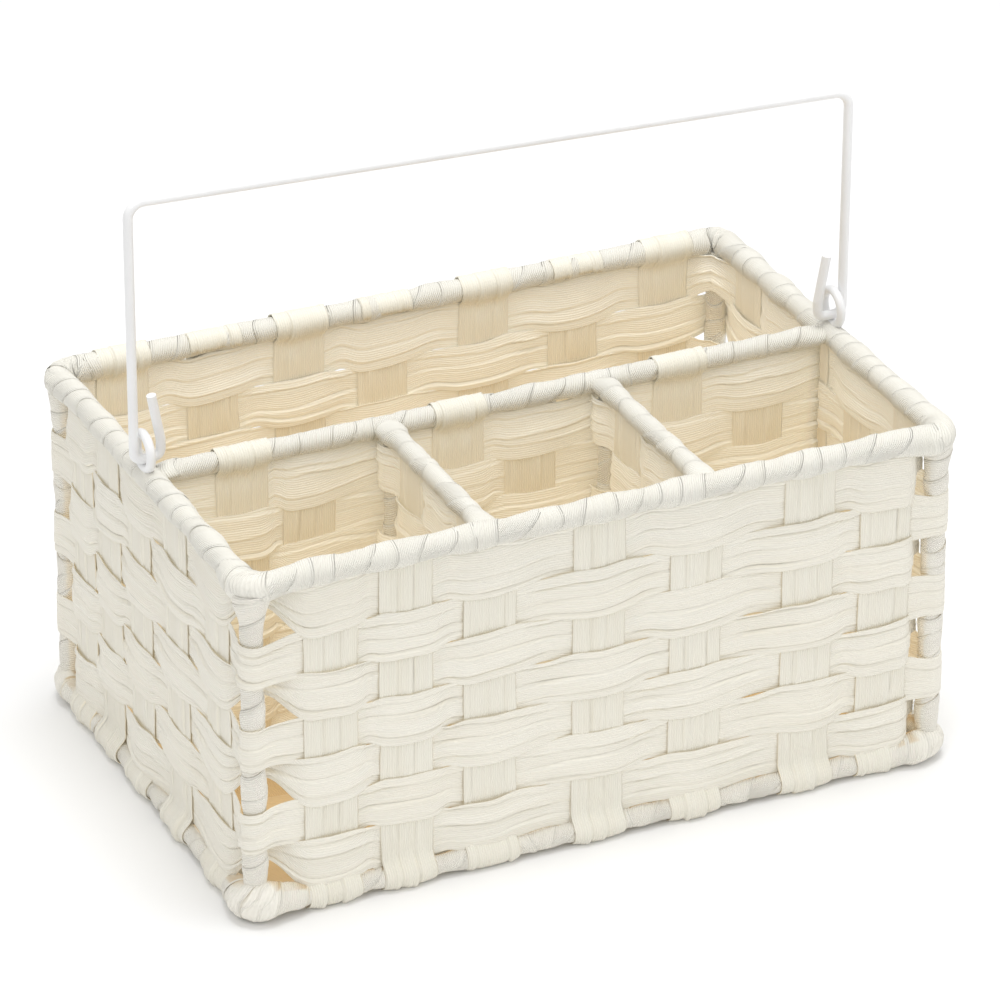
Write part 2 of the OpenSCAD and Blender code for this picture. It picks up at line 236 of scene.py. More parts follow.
def crowned(v):
    """1 along the middle of a tape, falling to 0 at its two edges."""
    return 1 - (2 * v[None, :] - 1) ** 2


# ---------------------------------------------------------------- mesh building

EDGE_TAPER = 0.55       # thickness of a tape's edge, as a part of the tape's thickness
PATTERNS = 97           # stretches of the material's pattern that a tape can start in
PATTERN_STEP = 400      # distance between those stretches, mm


def shell(grid, tape, thickness, loop=False):
    """A thin closed shell round a grid of points: vertices, faces, smooth flags and tape values."""
    n, m = grid.shape[:2]
    if loop:
        along = np.roll(grid, -1, axis=0) - np.roll(grid, 1, axis=0)
    else:
        along = np.gradient(grid, axis=0)
    across = np.gradient(grid, axis=1)
    normal = unit(np.cross(along, across))
    taper = np.ones(m)
    taper[0] = taper[-1] = EDGE_TAPER
    half = (taper * thickness / 2)[None, :, None]
    outer = (grid + normal * half).reshape(-1, 3)
    inner = (grid - normal * half).reshape(-1, 3)
    verts = np.concatenate([outer, inner])
    index = np.arange(n * m).reshape(n, m)
    here = index if loop else index[:-1]
    there = np.roll(index, -1, axis=0) if loop else index[1:]
    back = n * m

    def quads(a, b, c, d):
        return np.stack([a.ravel(), b.ravel(), c.ravel(), d.ravel()], axis=1)

    sides = [
        quads(here[:, :-1], there[:, :-1], there[:, 1:], here[:, 1:]),
        quads(here[:, :-1], here[:, 1:], there[:, 1:], there[:, :-1]) + back,
    ]
    rims = [
        quads(here[:, 0], here[:, 0] + back, there[:, 0] + back, there[:, 0]),
        quads(here[:, -1], there[:, -1], there[:, -1] + back, here[:, -1] + back),
    ]
    if not loop:
        first, last = index[0], index[-1]
        rims.append(quads(first[:-1], first[1:], first[1:] + back, first[:-1] + back))
        rims.append(quads(last[:-1], last[:-1] + back, last[1:] + back, last[1:]))
    smooth_faces = np.concatenate(sides)
    flat_faces = np.concatenate(rims)
    faces = np.concatenate([smooth_faces, flat_faces])
    flags = np.concatenate([np.ones(len(smooth_faces), bool), np.zeros(len(flat_faces), bool)])
    values = np.concatenate([tape.reshape(-1, 3), tape.reshape(-1, 3)])
    return verts, faces, flags, values


def piece(name, shells, material, nodes):
    """One object of the basket made of several shells, which stands for the named CAD nodes."""
    verts, faces, flags, values, count = [], [], [], [], 0
    for v, f, s, t in shells:
        verts.append(v)
        faces.append(f + count)
        flags.append(s)
        values.append(t)
        count += len(v)
    verts = np.concatenate(verts) * MM
    mesh = bpy.data.meshes.new(name)
    mesh.from_pydata(verts.tolist(), [], np.concatenate(faces).tolist())
    mesh.polygons.foreach_set("use_smooth", np.concatenate(flags))
    layer = mesh.attributes.new("tape", "FLOAT_VECTOR", "POINT")
    layer.data.foreach_set("vector", (np.concatenate(values) * MM).astype(np.float32).ravel())
    mesh.materials.append(material)
    mesh.update()
    thing = bpy.data.objects.new(name, mesh)
    bpy.context.scene.collection.objects.link(thing)
    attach(thing, "basket")
    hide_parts(*nodes)


def tape_values(u, v, field, rng):
    """Place along and across the tape and depth of its folds, for the materials, which paint shade into
    the fold valleys.
    """
    values = np.zeros(field.shape + (3,))
    values[..., 0] = u[:, None] + PATTERN_STEP * rng.integers(PATTERNS)
    values[..., 1] = v
    values[..., 2] = field
    return values


# ---------------------------------------------------------------- woven tapes

EDGE_OUT = 0.68         # how far a weaver stands off the edge of an upright, mm
MID_OUT = 0.95          # extra at the middle of the upright, mm
LIFT_SPREAD = (0.7, 1.4)    # least and most of that extra, as parts of it
STAKE_PUSH = 0.3        # how far the weavers push an upright in and out, mm
SEEN_INSIDE = ("rear", "right")     # walls whose folds face into the basket
SAG = (1.2, 3.9)        # how far a weaver's lower edge hangs below its pitch over an upright, mm
RISE = (-0.6, 0.9)      # how far its upper edge stands above its pitch there, mm
TILT = 0.7              # most that a weaver leans over an upright, mm
LOW_LAP = 0.9           # how far a weaver's lower edge overlaps the row below, mm
HIGH_LAP = 0.4          # how far its upper edge overlaps the row above, mm
EDGE_SAG = 0.45         # part of the sag left at the edges of the upright
EDGE_RISE = 0.4         # part of the rise left there
EDGE_SIDE = 0.75        # how fully a weaver is on its side of the weave at an upright's edge
EDGE_GATHER = 0.3       # how much it is gathered there


def plane_row(plane, sign, rng, top_rise=0.0, low_drop=0.0):
    """Places along a plane where a weaver passes its uprights and the gaps between them.

    Each is x, y, lower edge, upper edge, side it stands on and how much it is gathered."""
    stakes = STAKES[plane]
    rows = []
    for i, (place, width, top) in enumerate(stakes):
        side = sign if i % 2 == 0 else -sign
        sag = rng.uniform(*SAG) + low_drop
        rise = rng.uniform(*RISE) + top_rise
        lift = EDGE_OUT + MID_OUT * rng.uniform(*LIFT_SPREAD)
        tilt = rng.uniform(-TILT, TILT)
        low_edge = -HALF_PITCH - LOW_LAP - EDGE_SAG * sag
        high_edge = HALF_PITCH + HIGH_LAP + EDGE_RISE * rise
        middle = place + rng.uniform(-2, 2)
        half = width / 2
        at_edge = (side * EDGE_SIDE, EDGE_GATHER)
        rows.append(on_plane(plane, place - half, side * EDGE_OUT)
                    + (low_edge + tilt, high_edge + tilt) + at_edge)
        rows.append(on_plane(plane, middle, side * lift)
                    + (-HALF_PITCH - sag, HALF_PITCH + rise, side, 0))
        rows.append(on_plane(plane, place + half, side * EDGE_OUT)
                    + (low_edge - tilt, high_edge - tilt) + at_edge)
        if i + 1 < len(stakes):
            gap = (place + half + stakes[i + 1][0] - stakes[i + 1][1] / 2) / 2
            offset = rng.uniform(-0.2, 0.2)
            low = -HALF_PITCH + rng.uniform(-0.3, 0.4) - low_drop
            high = HALF_PITCH - rng.uniform(-0.1, 0.3) + top_rise
            rows.append(on_plane(plane, gap, offset) + (low, high, 0, 1))
    return rows


# How far a weaver narrows from below where it turns behind the post at the start of a wall, mm
PINCH = {"front": 12.5, "right": 9.0, "rear": 5.0, "left": 9.0}
INSIDE_TURN = POST_IN + 0.7 * POST_WRAP_R + 0.4  # place of the turn behind a post, mm
OUTSIDE_TURN = POST_WRAP_R + 1.4    # radius of the turn in front of a post, mm


def corner_row(plane, half, inside, rng, top_rise):
    """Places where a weaver turns round the corner post at the start of a wall.

    half is half the wall's length, and inside says whether the turn is behind the post."""
    rows = []
    if inside:
        pinch = PINCH[plane] * rng.uniform(0.85, 1.1)
        for along, out, part in ((0, -4.5, 0.9), (1.2, -1.2, 1.0), (4.5, 0, 0.9)):
            rows.append(on_plane(plane, -half + INSIDE_TURN + along, -INSIDE_TURN + out)
                        + (-HALF_PITCH + pinch * part, HALF_PITCH - 0.2 + top_rise, -0.2, 1.6))
    else:
        slant = rng.uniform(-0.9, 0.9)
        for k, angle in enumerate((215, 190, 160, 135, 110, 80, 55)):
            a = math.radians(angle)
            shift = slant * (k / 3.0 - 1)
            rows.append(on_plane(plane, -half + POST_IN + OUTSIDE_TURN * math.cos(a),
                                 -POST_IN + OUTSIDE_TURN * math.sin(a))
                        + (-HALF_PITCH + 0.2 + shift, HALF_PITCH - 0.4 + shift + top_rise, 0.3, 0.8))
    return rows


FOLDS = 3               # large folds in a weaver
FOLD_DEPTH = 1.2        # mm
FOLD_SIGMA = 0.66       # half width of a large fold's valley, mm
FOLD_LEAST = 0.4
FINE_FOLDS = 4          # small folds in a weaver
FINE_DEPTH = 0.16
FINE_SIGMA = 0.6
GATHER_FOLDS = 0.5      # how much deeper a gathered weaver's folds are
HIDDEN_FOLDS = 0.75     # part of the folds lost where a weaver is behind an upright
CROWN = 0.5             # how far the middle of a weaver stands out, mm
FLARE = 0.4             # how far its lower edge stands out and its upper edge in, mm
RAGGED = 0.2            # unevenness of its two edges, mm


def band(rows, z, rng, hand=1, loop=False):
    """The shell of a weaver through the given places, at height z.

    hand is 1 where the way out of the plane is to the right of the way along it, or else -1."""
    line = smooth(rows, STEP, loop)
    plan = line[:, :2]
    if loop:
        way = unit(np.roll(plan, -1, axis=0) - np.roll(plan, 1, axis=0))
    else:
        way = unit(np.gradient(plan, axis=0))
    out = hand * np.stack([way[:, 1], -way[:, 0], np.zeros(len(way))], axis=1)
    u = lengths(plan)
    v = np.linspace(0, 1, SHEET_COLUMNS)
    lower, upper, side, gather = line[:, 2], line[:, 3], line[:, 4], line[:, 5]
    lower_edge, upper_edge = Wobble(rng, 38), Wobble(rng, 46)
    lower = lower + RAGGED * lower_edge(u)
    upper = upper + RAGGED * upper_edge(u)
    width = upper - lower
    folding = pleats(u, v, width, rng, FOLDS, FOLD_DEPTH, FOLD_SIGMA, least=FOLD_LEAST)
    folding += pleats(u, v, width, rng, FINE_FOLDS, FINE_DEPTH, FINE_SIGMA, 120, 0.1)
    folding *= (1 + GATHER_FOLDS * gather)[:, None]
    # 1 on the walls whose outside is seen, and -1 on those seen from inside the basket
    shown = np.ones(len(plan))
    if loop:
        shown = np.clip(-5 * (plan[:, 0] / HL + plan[:, 1] / HW), -1, 1)
    folding *= (1 - HIDDEN_FOLDS * np.clip(-side * shown, 0, 1))[:, None]
    raised = folding * shown[:, None]
    edge = np.minimum(v, 1 - v)
    # The rest only eases the painted fold shade off towards the edges; the shape above is already
    # taken.
    folding *= np.clip(edge / 0.06, 0.35, 1)[None, :]
    crown = side[:, None] * CROWN * crowned(v)
    flare = side[:, None] * FLARE * (1 - 2 * v[None, :])
    centre = np.column_stack([plan, np.full(len(plan), z)])
    grid = centre[:, None, :] + out[:, None, :] * (raised + crown + flare)[:, :, None]
    across = width[:, None] * v[None, :]
    grid[:, :, 2] += lower[:, None] + across
    return shell(grid, tape_values(u, across, folding, rng), TAPE_T, loop)


def weaver_row(k):
    """Row k of the walls, counted from the rim: a band round all four walls."""
    rng = np.random.default_rng(100 + k)
    odd = k % 2 == 1
    sign = 1 if odd else -1
    rise = 3.2 if k == 1 else 0.0
    drop = 1.2 if k == ROWS else 0.0
    rows = []
    for plane, half in (("front", HL), ("right", HW), ("rear", HL), ("left", HW)):
        rows += corner_row(plane, half, odd, rng, rise)
        rows += plane_row(plane, sign, rng, rise, drop)
    return band(rows, ROW_Z[k - 1], rng, loop=True)


def long_divider_row(k):
    """Row k of the long divider, from end wall to end wall."""
    rng = np.random.default_rng(200 + k)
    sign = -1 if k % 2 == 1 else 1
    rise = 3.0 if k == 1 else 0.0
    end = HL - 4.5
    edges = (-HALF_PITCH + 0.6, HALF_PITCH - 0.6 + rise, 0, 1)
    rows = [on_plane("long", -end, 0) + edges]
    rows += plane_row("long", sign, rng, rise)
    rows.append(on_plane("long", end, 0) + edges)
    return band(rows, ROW_Z[k - 1], rng)


def cross_divider_row(plane, k):
    """Row k of a cross divider, from the front wall round the divider post."""
    rng = np.random.default_rng((300 if plane == "left_cross" else 400) + k)
    sign = -1 if k % 2 == 1 else 1
    rise = 3.0 if k == 1 else 0.0
    edges = (-HALF_PITCH + 0.5, HALF_PITCH - 0.5 + rise, 0, 1)
    rows = [on_plane(plane, -HW + 4.0, 0) + edges]
    rows += plane_row(plane, sign, rng, rise)
    turn = DIVIDER_WRAP_R + 0.9
    for angle in (150, 120, 90):
        a = math.radians(angle)
        rows.append(on_plane(plane, DIVIDER_Y + turn * math.cos(a), -sign * turn * math.sin(a)) + edges)
    rows.append(on_plane(plane, -3.6, -sign * turn) + edges)
    return band(rows, ROW_Z[k - 1], rng, hand=-1)


FOOT_R = RIM_WRAP_R + 0.4           # radius of an upright's turn round the base wire, mm
RIM_FOLD_R = RIM_WRAP_R + 0.7       # radius of its fold over the rim, mm
RAIL_FOLD_R = RAIL_WRAP_R + 0.65    # radius of its fold over the long rail, mm
UPRIGHT_FOLDS = 2                   # large folds in an upright
UPRIGHT_DEPTH = 1.5                 # mm
UPRIGHT_SIGMA = 0.8                 # half width of a large fold's valley, mm
UPRIGHT_LEAST = 0.75
UPRIGHT_FINE_FOLDS = 3
UPRIGHT_FINE_DEPTH = 0.14
UPRIGHT_CROWN = 0.3                 # how far the middle of an upright stands out, mm
UPRIGHT_CURL = 0.45                 # how far its edges curl away from the weavers, mm
PRESSED_FOLDS = 0.25                # part of its folds left where a weaver presses on it


def upright_line(foot, fold, fold_r, signs):
    """How far out and how high an upright lies, from its foot to the fold over the rim or rail."""
    line = []
    if foot:
        flat = TAPE_T / 2 + 0.05
        line += [(-3, flat), (FOOT_R * 0.3, flat)]
        for angle in (-58, -36, -14, 8, 30, 50):
            a = math.radians(angle)
            line.append((FOOT_R * math.cos(a), BASE_Z + FOOT_R * math.sin(a)))
        line.append((1.2, BASE_Z + FOOT_R + 1.2))
    else:
        line.append((0, FLOOR_TOP + 0.4))
    for k in range(ROWS - 1, -1, -1):
        above_foot = 3 if k == ROWS - 1 and foot else 0
        line.append((-signs[k] * STAKE_PUSH, ROW_Z[k] + above_foot))
    if fold:
        line.append((fold * 0.5, RIM_Z - fold_r - 2.0))
        for angle in range(-40, 206, 20):
            a = math.radians(angle)
            line.append((fold * fold_r * math.cos(a), RIM_Z + fold_r * math.sin(a)))
    else:
        line.append((0, RIM_Z - 4))
    return line


def upright(plane, place, width, fold, signs, rng, foot, fold_r):
    """The shell of one upright tape.

    fold is the side it folds over to, or 0. signs gives the side that each row passes on."""
    path = smooth(upright_line(foot, fold, fold_r, signs), STEP * 0.8)
    way = unit(np.gradient(path, axis=0))
    u = lengths(path)
    v = np.linspace(0, 1, STAKE_COLUMNS)
    left_edge, right_edge = Wobble(rng, 45), Wobble(rng, 45)
    lean = rng.uniform(-0.8, 0.8)
    left = -width / 2 + 0.3 * left_edge(u)
    right = width / 2 + 0.3 * right_edge(u)
    shift = lean * (u / u[-1] - 0.5)
    span = right - left
    seen = -1 if plane in SEEN_INSIDE else 1
    field = pleats(u, v, span, rng, UPRIGHT_FOLDS, UPRIGHT_DEPTH, UPRIGHT_SIGMA, 300, 0.03,
                   UPRIGHT_LEAST)
    field *= 1 - np.abs(2 * v[None, :] - 1) ** 3
    free = np.clip(seen * path[:, :1] / STAKE_PUSH, 0, 1)
    field *= PRESSED_FOLDS + (1 - PRESSED_FOLDS) * free ** 0.6
    field += pleats(u, v, span, rng, UPRIGHT_FINE_FOLDS, UPRIGHT_FINE_DEPTH, UPRIGHT_SIGMA,
                    220, 0.08)
    field += UPRIGHT_CROWN * crowned(v)
    curl = np.clip(-path[:, :1] / STAKE_PUSH, -1, 1)
    raised = seen * field + UPRIGHT_CURL * curl * (2 * v[None, :] - 1) ** 4
    origin, along, outward = PLANES[plane]
    along3 = np.array([along[0], along[1], 0.0])
    out3 = np.array([outward[0], outward[1], 0.0])
    up3 = np.array([0, 0, 1.0])
    base = np.array([origin[0], origin[1], 0.0])
    centre = base + along3 * place + path[:, :1] * out3 + path[:, 1:] * up3
    normal = way[:, 1:] * out3 - way[:, :1] * up3
    across = left[:, None] + span[:, None] * v[None, :] + shift[:, None]
    grid = centre[:, None, :] + normal[:, None, :] * raised[:, :, None]
    grid = grid - along3 * across[:, :, None]
    return shell(grid, tape_values(u, across, field, rng), TAPE_T)


def stake_set(plane, odd_sign, foot, fold_r, first_fold, seed, folded=(False, False)):
    """All the uprights of one plane.

    folded says whether the odd and the even ones lie over the wrapping of the rim or rail."""
    shells = []
    for i, (place, width, top) in enumerate(STAKES[plane]):
        rng = np.random.default_rng(seed + i)
        side = odd_sign if i % 2 == 0 else -odd_sign
        signs = [side if k % 2 == 0 else -side for k in range(ROWS)]
        fold = 0
        if top > RIM_Z and folded[i % 2]:
            fold = first_fold if i % 2 == 0 else -first_fold
        shells.append(upright(plane, place, width, fold, signs, rng, foot, fold_r))
    return shells


FLOOR_WAVE = 1.15       # how far the lengthwise floor tapes rise and fall over the cross ones, mm


def flat_tape(along_x, middle, start, stop, width, waves, rng):
    """The shell of one floor tape, which runs along X or Y with its middle at the other."""
    path = smooth([(start, 0.0)] + waves + [(stop, 0.0)], STEP)
    u = lengths(path)
    v = np.linspace(0, 1, STAKE_COLUMNS)
    field = pleats(u, v, np.full(len(u), width), rng, 3, 0.3, 1.3, 160)
    field += 0.25 * crowned(v)
    grid = np.zeros((len(u), len(v), 3))
    across = (v - 0.5) * width
    if along_x:
        grid[:, :, 0] = path[:, :1]
        grid[:, :, 1] = middle + across[None, :]
    else:
        grid[:, :, 1] = path[:, :1]
        grid[:, :, 0] = middle - across[None, :]
    grid[:, :, 2] = FLOOR_Z + path[:, 1:] + field
    return shell(grid, tape_values(u, across[None, :], field, rng), TAPE_T)


def floor_tapes():
    """Shells of the cross tapes and of the lengthwise tapes of the floor."""
    cross = sorted(solids("floor_cross_tapes"), key=lambda s: s[0][0])
    lengthwise = sorted(solids("floor_long_tapes"), key=lambda s: s[0][1])
    cross_shells, long_shells = [], []
    for i, (centre, size) in enumerate(cross):
        rng = np.random.default_rng(700 + i)
        half = size[1] / 2
        cross_shells.append(flat_tape(False, centre[0], -half, half, size[0], [(0.0, 0.0)], rng))
    for j, (centre, size) in enumerate(lengthwise):
        rng = np.random.default_rng(720 + j)
        half = size[0] / 2
        waves = []
        for i, (crossing, _) in enumerate(cross):
            sign = 1 if (i + j) % 2 == 0 else -1
            waves.append((crossing[0], sign * FLOOR_WAVE))
        long_shells.append(flat_tape(True, centre[1], -half, half, size[1], waves, rng))
    return cross_shells, long_shells


# ---------------------------------------------------------------- wrapping

def loop_path(z):
    """Rounded rectangle of a wire loop, about a point a millimetre."""
    points = []
    for cx, cy, start in ((1, -1, -90), (1, 1, 0), (-1, 1, 90), (-1, -1, 180)):
        for step in range(0, 91, 10):
            a = math.radians(start + step)
            points.append((cx * (HL - CORNER_R) + CORNER_R * math.cos(a),
                           cy * (HW - CORNER_R) + CORNER_R * math.sin(a), z))
    points.append(points[0])
    return np.array(points)


def straight(a, b):
    """The path of a straight wire."""
    return np.array([a, b], float)


SAMPLE_REACH = 0.8      # distance ahead and behind over which a path's direction is taken, mm


def sample(path, s, loop):
    """Point and direction of a path at each length s."""
    total = lengths(path)
    end = total[-1]
    if loop:
        s = np.mod(s, end)
        ahead = np.mod(s + SAMPLE_REACH, end)
        behind = np.mod(s - SAMPLE_REACH, end)
    else:
        middle = np.clip(s, SAMPLE_REACH, end - SAMPLE_REACH)
        ahead = middle + SAMPLE_REACH
        behind = middle - SAMPLE_REACH

    def at(places):
        return np.stack([np.interp(places, total, path[:, i]) for i in range(3)], axis=-1)

    return at(np.clip(s, 0, end)), unit(at(ahead) - at(behind))


TURN_SPREAD = (0.7, 1.35)   # shortest and longest turn of a winding, as parts of its pitch
SLANT = 3.5             # how far a turn leans along the wire, mm
OVERLAP_RISE = 0.7      # how far a turn's lapping edge stands above its covered edge, mm
HUG = 0.15              # how far the lapping edge is pulled back down, mm
WAVE_SHADE = 0.4        # how far a winding's lumps count as folds in its material, which paints shade into their hollows
END_REACH = 12          # length over which a winding shrinks towards its ends, mm
SADDLE = 15             # reach of the spread of a rail's winding at its ends, mm
SADDLE_SPREAD = 0.8     # how much wider the winding is there


def wrap(path, radius, pitch, rng, loop=False, lump=0.35, cover=1.75, flare=0.5, ends=0.0,
         saddle=None):
    """The shell of a tape wound round a path, each turn lying over the edge of the next.

    radius gives the radius of the winding at a length along the path. lump is the height of its
    bumps, cover the width of the tape in pitches, and flare how far its edge lifts. ends is the
    part of the radius lost towards each end, where the winding runs into another. saddle gives
    the places near each end where the winding spreads sideways into the wire it meets."""
    total = lengths(path)[-1]
    count = max(2, int(round(total / pitch)))
    steps = rng.uniform(*TURN_SPREAD, count)
    knots = np.concatenate([[0], np.cumsum(steps)])
    knots *= total / knots[-1]
    turns = np.arange(count * WRAP_SEGMENTS + (0 if loop else 1)) / WRAP_SEGMENTS
    angle = 2 * math.pi * turns
    slant = SLANT * Wobble(rng, 3.0 * 2 * math.pi)(angle)
    if loop:
        slant = slant * np.minimum(1, np.minimum(turns, count - turns) / 1.5)
    centre = np.interp(turns, np.arange(count + 1), knots) + slant * np.sin(angle)
    v = np.linspace(0, 1, WRAP_COLUMNS)
    width = total / count * cover
    s = centre[:, None] + (v[None, :] - 0.5) * width
    point, way = sample(path, s, loop)
    standing = abs(path[1][2] - path[0][2]) > 1
    if standing:
        side = np.broadcast_to(np.array([1.0, 0, 0]), point.shape)
        up = np.broadcast_to(np.array([0, 1.0, 0]), point.shape)
    else:
        up = np.broadcast_to(np.array([0, 0, 1.0]), point.shape)
        side = unit(np.cross(way, up))
    bump_a, bump_b, bump_c = Wobble(rng, 24), Wobble(rng, 17), Wobble(rng, 9)
    edge = Wobble(rng, 5.0)
    wave = lump * bump_a(s) + 0.6 * lump * np.sin(angle[:, None] + 3 * bump_b(s)) * bump_c(s)
    lifted = flare * np.clip(edge(angle) - 0.3, 0, 1)[:, None]
    lifted = lifted * np.clip(v - 0.75, 0, 1)[None, :] * 4
    if loop:
        join = np.minimum(1, np.minimum(turns, count - turns))[:, None]
        wave = wave * join
        lifted = lifted * join
    rise = OVERLAP_RISE * (v - 0.5) - HUG * np.clip((v - 0.8) / 0.2, 0, 1) ** 2
    r = radius(np.mod(s, total) if loop else s) + rise[None, :] + wave + lifted
    wide = np.ones(s.shape)
    if ends:
        meeting = np.maximum(near(s, 0, END_REACH), near(s, total, END_REACH))
        r = r * (1 - ends * meeting)
    if saddle:
        meeting = np.maximum(near(s, saddle[0], SADDLE), near(s, total - saddle[1], SADDLE))
        wide = wide + SADDLE_SPREAD * meeting
    turn = angle[:, None, None]
    grid = point + r[:, :, None] * (np.cos(turn) * side * wide[:, :, None] + np.sin(turn) * up)
    values = tape_values(angle * RIM_WRAP_R, v[None, :] * width, WAVE_SHADE * wave, rng)
    return shell(grid, values, WRAP_T, loop)


def near(s, place, reach, total=None):
    """1 at a place along a path, falling to 0 at reach."""
    gap = np.abs(s - place)
    if total:
        gap = np.minimum(gap, total - gap)
    x = np.clip(1 - gap / reach, 0, 1)
    return x * x * (3 - 2 * x)


def corner_lengths(path):
    """Lengths along a loop path at the middle of its four bends, front right first."""
    total = lengths(path)
    return [total[10 * i + 5] for i in range(4)]


def stake_lengths(path, planes):
    """Lengths along a loop path of the uprights of some walls."""
    total = lengths(path)
    places = []
    for plane in planes:
        for place, width, top in STAKES[plane]:
            point = np.array(on_plane(plane, place, 0))
            for i in range(len(path) - 1):
                a, b = path[i, :2], path[i + 1, :2]
                t = np.dot(point - a, b - a) / np.dot(b - a, b - a)
                if 0 <= t <= 1 and np.linalg.norm(a + t * (b - a) - point) < 1:
                    places.append(total[i] + t * (total[i + 1] - total[i]))
                    break
    return places


def dense(path):
    """A path with a point about every four millimetres, and the length along it at each."""
    total = lengths(path)[-1]
    places = np.linspace(0, total, int(total / 4))
    point, way = sample(path, places, False)
    return point, places


def bulge(path, out, up):
    """Steps out of a loop and up, at each point of its path."""
    way = unit(np.gradient(path, axis=0))
    step = np.full(len(path), up)
    return np.stack([way[:, 1] * out, -way[:, 0] * out, step], axis=1)


CORNER_REACH = 26       # length on each side of a corner that its thicker winding takes up, mm
HANDLE_ZONE = 12        # length at each end of the basket where the folded handle passes, mm
HANDLE_ROOM = 0.6       # height under the handle where the rim's winding starts to flatten, mm


def rim_wrapping():
    """The winding of the rim: thicker at the corners and where uprights end under it."""
    path = loop_path(RIM_Z)
    total = lengths(path)[-1]
    corners = corner_lengths(path)
    tucked = stake_lengths(path, ("front", "left", "right"))
    bound = stake_lengths(path, ("rear",))
    path, places = dense(path)
    for place in corners:
        reach = near(places, place, CORNER_REACH, total)[:, None]
        path = path + reach * bulge(path, 0.7, -1.7)

    def radius(s):
        r = np.full(s.shape, RIM_WRAP_R)
        for place in corners:
            r = r + 1.7 * near(s, place, CORNER_REACH, total)
        for place in tucked:
            r = r + 0.6 * near(s, place, 17, total)
        for place in bound:
            r = r - 0.5 * near(s, place, 15, total)
        return r

    rng = np.random.default_rng(11)
    verts, faces, flags, values = wrap(path, radius, 12.5, rng, loop=True, cover=2.25, flare=0.25)
    over = np.clip(verts[:, 2] - HANDLE_LOW + HANDLE_ROOM, 0, None)
    under_handle = np.abs(verts[:, 0]) > HL - HANDLE_ZONE
    verts[:, 2] -= np.where(under_handle, 0.85 * over, 0)
    return [(verts, faces, flags, values)]


# The four base corners, front right first: how much thicker the winding is, and how far along
# from the bend it is thickest, mm
BASE_KNOTS = ((2.4, 0), (2.0, 0), (2.6, 0), (4.3, 5))


def base_wrapping():
    """The winding of the base wire, with a knot at each corner."""
    path = loop_path(BASE_Z)
    total = lengths(path)[-1]
    knots = [(place + shift, swell)
             for place, (swell, shift) in zip(corner_lengths(path), BASE_KNOTS)]
    path, places = dense(path)
    for place, swell in knots:
        reach = near(places, place, CORNER_REACH, total)[:, None]
        path = path + reach * bulge(path, 0.45 * swell, 0.85 * swell)

    def radius(s):
        r = np.full(s.shape, RIM_WRAP_R - 0.75)
        for place, swell in knots:
            r = r + swell * near(s, place, CORNER_REACH + 2, total)
        return r

    return [wrap(path, radius, 11.0, np.random.default_rng(12), loop=True, lump=0.4)]


POST_TOP = 3            # distance of a post winding's end below the rim wire, mm
POST_FOOT = 4           # distance of its start above the base wire, mm
POST_KNOT = 1.4         # how much thicker it is at its top, mm
FRONT_LEFT_KNOT = 2.6


def post_wrapping():
    """The windings of the corner posts, narrower where a weaver passes in front."""
    shells = []
    for i, (centre, size) in enumerate(POSTS):
        rng = np.random.default_rng(20 + i)
        x, y = centre[0], centre[1]
        foot = BASE_Z + POST_FOOT
        top = RIM_Z - POST_TOP
        knot = FRONT_LEFT_KNOT if x < 0 and y < 0 else POST_KNOT

        def radius(s):
            r = POST_WRAP_R + 1.0 + knot * near(s, top - foot, 18)
            for k in range(1, ROWS, 2):
                r = r - 0.9 * near(s, ROW_Z[k] - foot, 16)
            return r

        path = straight((x, y, foot), (x, y, top))
        shells.append(wrap(path, radius, 11.0, rng, lump=0.3, cover=1.95, flare=0.15))
    return shells


def long_rail_wrapping():
    """The winding of the long rail, narrower under the uprights that fold over it."""
    end = HL - 1
    path = straight((-end, 0, RIM_Z), (end, 0, RIM_Z))
    folded = [place + end for place, width, top in STAKES["long"][::2]]

    def radius(s):
        r = np.full(s.shape, RAIL_WRAP_R - 0.05)
        for place in folded:
            r = r - 0.5 * near(s, place, 16)
        return r

    return [wrap(path, radius, 13.0, np.random.default_rng(31), ends=0.25, saddle=(1, 1))]


def even(r):
    """The radius of a winding that is the same along the whole of its path."""
    return lambda s: np.full(s.shape, r)


def cross_rail_wrapping():
    """The windings of the two cross rails."""
    shells = []
    for i, x in enumerate((LEFT_X, RIGHT_X)):
        rng = np.random.default_rng(33 + i)
        path = straight((x, -HW + 1, RIM_Z), (x, -1, RIM_Z))
        shells.append(wrap(path, even(RAIL_WRAP_R - 0.1), 13.5, rng, ends=0.25, saddle=(1, 1)))
    return shells


def divider_post_wrapping():
    """The windings of the two posts where the dividers meet."""
    shells = []
    for i, x in enumerate((LEFT_X, RIGHT_X)):
        rng = np.random.default_rng(36 + i)
        path = straight((x, DIVIDER_Y, FLOOR_TOP + 0.6), (x, DIVIDER_Y, RIM_Z - 4))
        shells.append(wrap(path, even(DIVIDER_WRAP_R - 0.3), 12.0, rng, lump=0.2))
    return shells


# ---------------------------------------------------------------- materials

